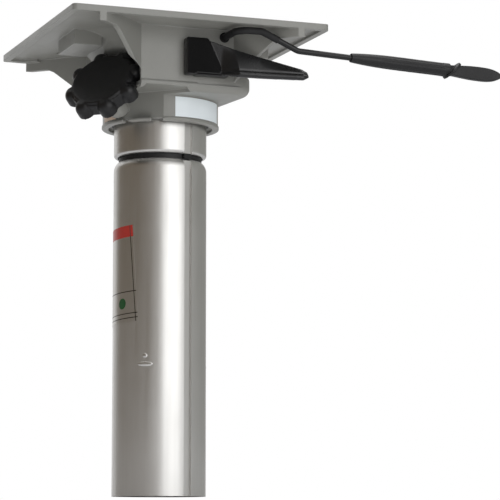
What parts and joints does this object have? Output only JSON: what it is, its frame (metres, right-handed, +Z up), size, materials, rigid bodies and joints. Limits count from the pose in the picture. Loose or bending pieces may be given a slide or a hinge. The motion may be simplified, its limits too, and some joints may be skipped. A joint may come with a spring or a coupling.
{
  "type": "boat seat pedestal",
  "caption": "Power-rise boat seat pedestal: keyed column, gas-spring post and cast swivel head with a square seat plate, friction knob, lock paddle and release lever.",
  "frame": {"origin": "centre of the column's open foot", "axes": "+Z up along the column, -Y towards the front of the head where the paddle sits, +X to the side that the lever points to"},
  "size_m": [0.3561, 0.2066, 0.3605],
  "materials": {
    "tube_metal": "bright anodised extrusion",
    "black_plastic": "moulded",
    "plug_metal": "as cast and turned",
    "bright_steel": "ground",
    "plain_steel": "zinc plated",
    "bump_rubber": "matt",
    "tube_label": "film label",
    "cylinder_paint": "black enamel",
    "casting_paint": "warm grey powder coat",
    "grommet_rubber": "matt",
    "collar_label": "film label",
    "side_label": "film label",
    "knob_plastic": "satin moulded",
    "shoe_brass": "turned",
    "lever_paint": "black enamel",
    "sleeve_rubber": "satin",
    "grip_rubber": "satin",
    "paddle_plastic": "glossy moulded"
  },
  "bodies": {
    "column": {"outer_tube": "tube_metal", "top_bushing": "black_plastic", "seat_plug": "plug_metal", "piston_rod": "bright_steel", "rod_washer": "plain_steel", "rod_nut": "plain_steel", "bump_stop": "bump_rubber", "tube_label": "tube_label"},
    "post": {"slide_tube": "tube_metal", "lower_bushing": "black_plastic", "sleeve_adapter": "black_plastic", "top_sleeve": "tube_metal", "post_cap": "plug_metal", "gas_cylinder": "cylinder_paint", "thrust_washer": "black_plastic", "lock_ring": "plain_steel", "cylinder_nut": "plain_steel"},
    "valve": {"valve_pin": "bright_steel"},
    "head": {"head_casting": "casting_paint", "swivel_bushing": "black_plastic", "rod_grommet": "grommet_rubber", "collar_label": "collar_label", "side_label": "side_label"},
    "knob": {"knob": "knob_plastic", "knob_stud": "plain_steel"},
    "shoe": {"friction_shoe": "shoe_brass"},
    "lever": {"lever_rod": "lever_paint", "lever_sleeve": "sleeve_rubber", "lever_grip": "grip_rubber"},
    "paddle": {"paddle": "paddle_plastic", "paddle_shaft": "bright_steel", "lock_crank": "plain_steel", "shaft_clip": "plain_steel"},
    "lock": {"lock_pin": "bright_steel"}
  },
  "joints": [
    {"name": "post_rise", "type": "slide", "parent": "column", "child": "post", "axis": [0, 0, 1], "range_m": [0, 0.076]},
    {"name": "valve_press", "type": "slide", "parent": "post", "child": "valve", "axis": [0, 0, -1], "range_m": [0, 0.0021]},
    {"name": "head_swivel", "type": "hinge", "parent": "post", "child": "head", "pos_m": [0, 0, 0.31], "axis": [0, 0, 1], "continuous": true},
    {"name": "knob_turn", "type": "hinge", "parent": "head", "child": "knob", "pos_m": [-0.0612, -0.0384, 0.3183], "axis": [-0.61, -0.5891, 0.5299], "range_deg": [0, 150]},
    {"name": "shoe_press", "type": "slide", "parent": "head", "child": "shoe", "axis": [0.61, 0.5891, -0.5299], "range_m": [0, 0.0006]},
    {"name": "lever_lift", "type": "hinge", "parent": "head", "child": "lever", "pos_m": [0.03, -0.03, 0.352], "axis": [0, -1, 0], "range_deg": [0, 3.5], "stiffness_Nm_per_rad": 1.5, "springref_deg": -5.73},
    {"name": "paddle_lift", "type": "hinge", "parent": "head", "child": "paddle", "pos_m": [0.008, -0.04, 0.334], "axis": [0, -1, 0], "range_deg": [0, 6], "stiffness_Nm_per_rad": 0.5, "springref_deg": -11.46},
    {"name": "lock_lift", "type": "slide", "parent": "head", "child": "lock", "axis": [0, 0, 1], "range_m": [0, 0.002]}
  ],
  "couplings": [
    {"joint": "valve_press", "follows": "lever_lift", "m_per_rad": 0.03},
    {"joint": "shoe_press", "follows": "knob_turn", "m_per_rad": 0.000191},
    {"joint": "lock_lift", "follows": "paddle_lift", "m_per_rad": 0.01711}
  ]
}
